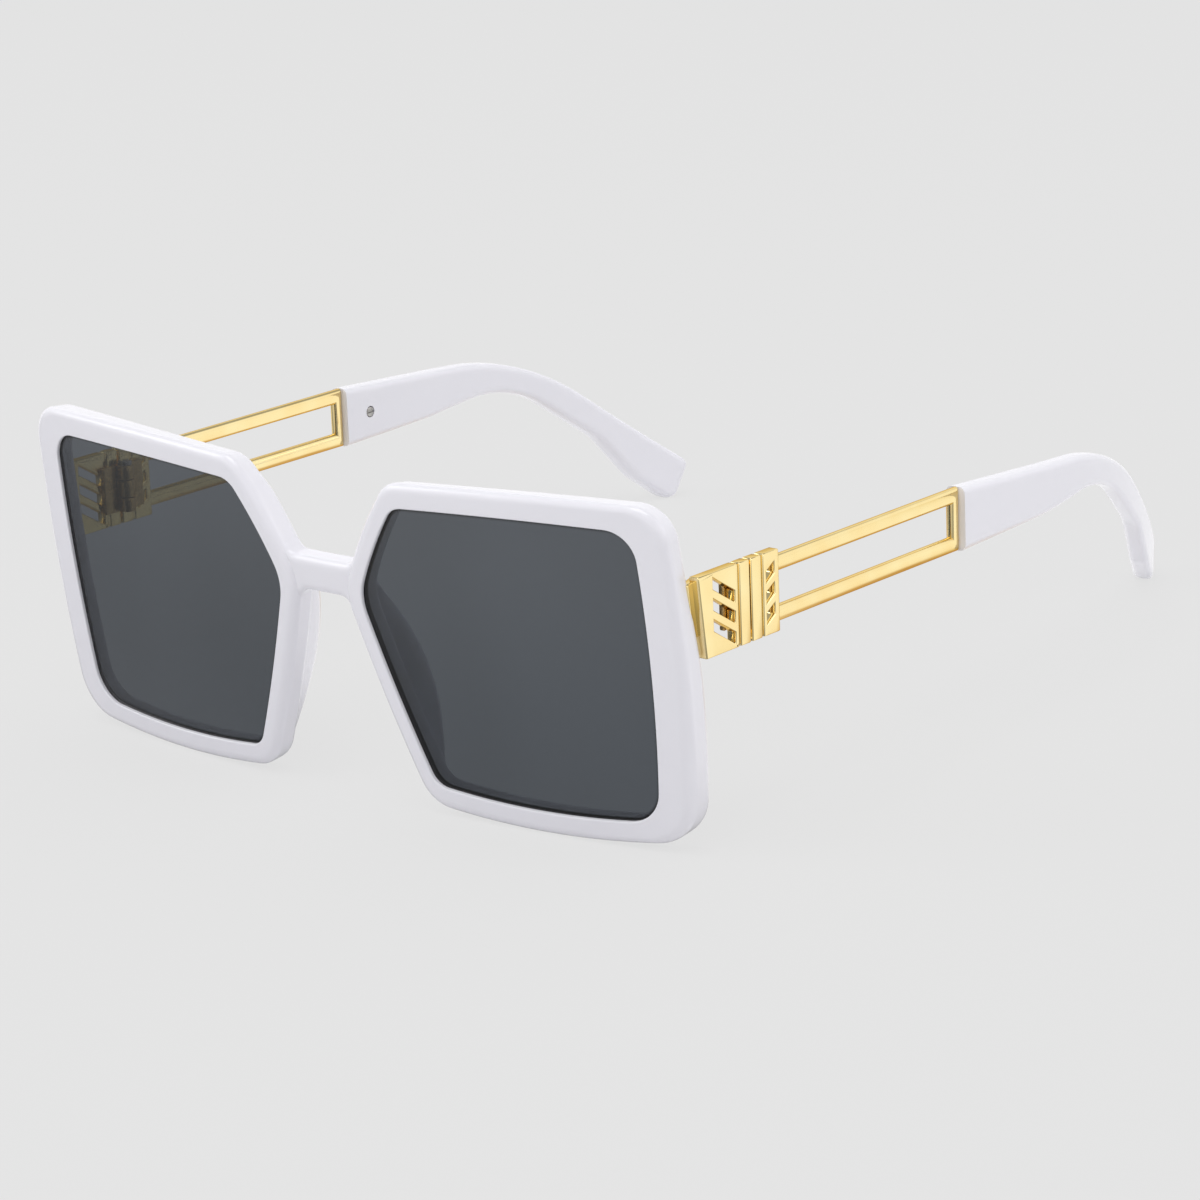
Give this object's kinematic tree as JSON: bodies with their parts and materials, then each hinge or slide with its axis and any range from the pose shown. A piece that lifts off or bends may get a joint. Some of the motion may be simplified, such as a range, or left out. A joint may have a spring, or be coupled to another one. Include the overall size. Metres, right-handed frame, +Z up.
{
  "type": "sunglasses",
  "caption": "Oversized sunglasses: square moulded front with tinted lenses, and metal openwork arms with moulded tips that fold on screw hinges.",
  "frame": {"origin": "middle of the space that the open glasses take up, on the surface they stand on", "axes": "+Z up, +Y from the front face back towards the ears, +X to the wearer's left"},
  "size_m": [0.1478, 0.1676, 0.061],
  "materials": {
    "white_plastic": "glossy moulded plastic, warm white",
    "tinted_lens": "polished, grey tint, dimly see-through",
    "gold_metal": "polished, gold plated",
    "hinge_steel": "satin, darkened",
    "screw_steel": "satin"
  },
  "bodies": {
    "front": {"front_frame": "white_plastic", "lens_left": "tinted_lens", "endpiece_left": "gold_metal", "endpiece_screw_left": "screw_steel", "hinge_front_leaf_left": "hinge_steel", "hinge_screw_left": "screw_steel", "lens_right": "tinted_lens", "endpiece_right": "gold_metal", "endpiece_screw_right": "screw_steel", "hinge_front_leaf_right": "hinge_steel", "hinge_screw_right": "screw_steel"},
    "arm_left": {"hinge_rear_leaf_left": "hinge_steel", "temple_arm_left": "gold_metal", "temple_tip_left": "white_plastic", "tip_screw_left": "screw_steel"},
    "arm_right": {"hinge_rear_leaf_right": "hinge_steel", "temple_arm_right": "gold_metal", "temple_tip_right": "white_plastic", "tip_screw_right": "screw_steel"}
  },
  "joints": [
    {"name": "left_temple_fold", "type": "hinge", "parent": "front", "child": "arm_left", "pos_m": [0.06925, -0.05815, 0.03972], "axis": [0, 0.0563, 0.9984], "range_deg": [0, 88]},
    {"name": "right_temple_fold", "type": "hinge", "parent": "front", "child": "arm_right", "pos_m": [-0.06925, -0.05815, 0.03972], "axis": [0, -0.0563, -0.9984], "range_deg": [0, 80]}
  ]
}
